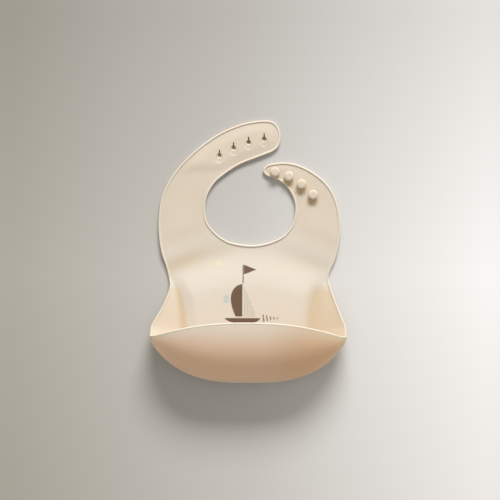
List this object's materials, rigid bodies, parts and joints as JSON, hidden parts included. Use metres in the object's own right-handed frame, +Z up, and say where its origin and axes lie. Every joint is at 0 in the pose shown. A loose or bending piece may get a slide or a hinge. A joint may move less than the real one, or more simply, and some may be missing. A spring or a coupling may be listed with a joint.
{
  "type": "silicone feeding bib",
  "caption": "Soft silicone bib with a moulded food pocket, two neck straps with studs and keyholes, and a small printed boat.",
  "frame": {"origin": "middle of the bib's footprint, on the surface that it lies on", "axes": "+X across the bib to the studded strap's side, +Y from the pocket to the neck straps, +Z up, out of the bib's front"},
  "size_m": [0.224, 0.299, 0.055],
  "materials": {
    "silicone": "matt soft-touch cream silicone",
    "silicone_bead": "matt cream silicone, a little lighter on the raised bead",
    "ink_brown": "matt brown silicone ink with a chalky texture",
    "ink_pale": "matt pale grey silicone ink",
    "ink_yellow": "matt pale yellow silicone ink",
    "ink_blue": "matt pale blue silicone ink"
  },
  "bodies": {
    "root": {"chest_panel": "silicone", "chest_bead_left": "silicone_bead", "chest_bead_right": "silicone_bead", "pocket_back": "silicone", "gusset_left": "silicone", "gusset_right": "silicone", "gusset_bead_left": "silicone_bead", "gusset_bead_right": "silicone_bead", "pocket_floor_left": "silicone", "pocket_floor_middle": "silicone", "pocket_floor_right": "silicone", "pocket_sill": "silicone", "pocket_side_left": "silicone", "pocket_side_right": "silicone", "rim_bead_left": "silicone_bead", "rim_bead_right": "silicone_bead", "print_sail": "ink_brown", "print_pennant": "ink_brown", "print_hull": "ink_brown", "print_waves": "ink_brown", "print_jib": "ink_pale", "print_sun": "ink_yellow", "print_cloud": "ink_blue"},
    "pocket_front": {"pocket_wall": "silicone", "rim_bead_middle": "silicone_bead"},
    "collar": {"collar": "silicone", "collar_bead_left": "silicone_bead", "collar_bead_right": "silicone_bead", "neck_bead": "silicone_bead"},
    "slot_strap": {"slot_strap": "silicone", "slot_strap_bead_outer": "silicone_bead", "slot_strap_bead_inner": "silicone_bead"},
    "slot_end": {"slot_end": "silicone", "slot_end_bead": "silicone_bead"},
    "stud_strap": {"stud_strap": "silicone", "stud_strap_bead": "silicone_bead", "stud_1": "silicone", "stud_2": "silicone", "stud_3": "silicone", "stud_4": "silicone"}
  },
  "joints": [
    {"name": "collar_fold", "type": "hinge", "parent": "root", "child": "collar", "pos_m": [0, -0.008, 0.0036], "axis": [1, 0, 0], "range_deg": [0, 70], "stiffness_Nm_per_rad": 0.004},
    {"name": "slot_strap_lift", "type": "hinge", "parent": "collar", "child": "slot_strap", "pos_m": [-0.077, 0.045, 0.0036], "axis": [1, 0, 0], "range_deg": [0, 45], "stiffness_Nm_per_rad": 0.003},
    {"name": "slot_end_curl", "type": "hinge", "parent": "slot_strap", "child": "slot_end", "pos_m": [-0.0485, 0.097, 0.0036], "axis": [0.7071, -0.7071, 0], "range_deg": [0, 45], "stiffness_Nm_per_rad": 0.003},
    {"name": "stud_strap_lift", "type": "hinge", "parent": "collar", "child": "stud_strap", "pos_m": [0.078, 0.045, 0.0036], "axis": [1, 0, 0], "range_deg": [0, 45], "stiffness_Nm_per_rad": 0.003},
    {"name": "pocket_flex", "type": "hinge", "parent": "root", "child": "pocket_front", "pos_m": [0, -0.133, 0.036], "axis": [1, 0, 0], "range_deg": [-15, 12], "stiffness_Nm_per_rad": 0.5}
  ]
}
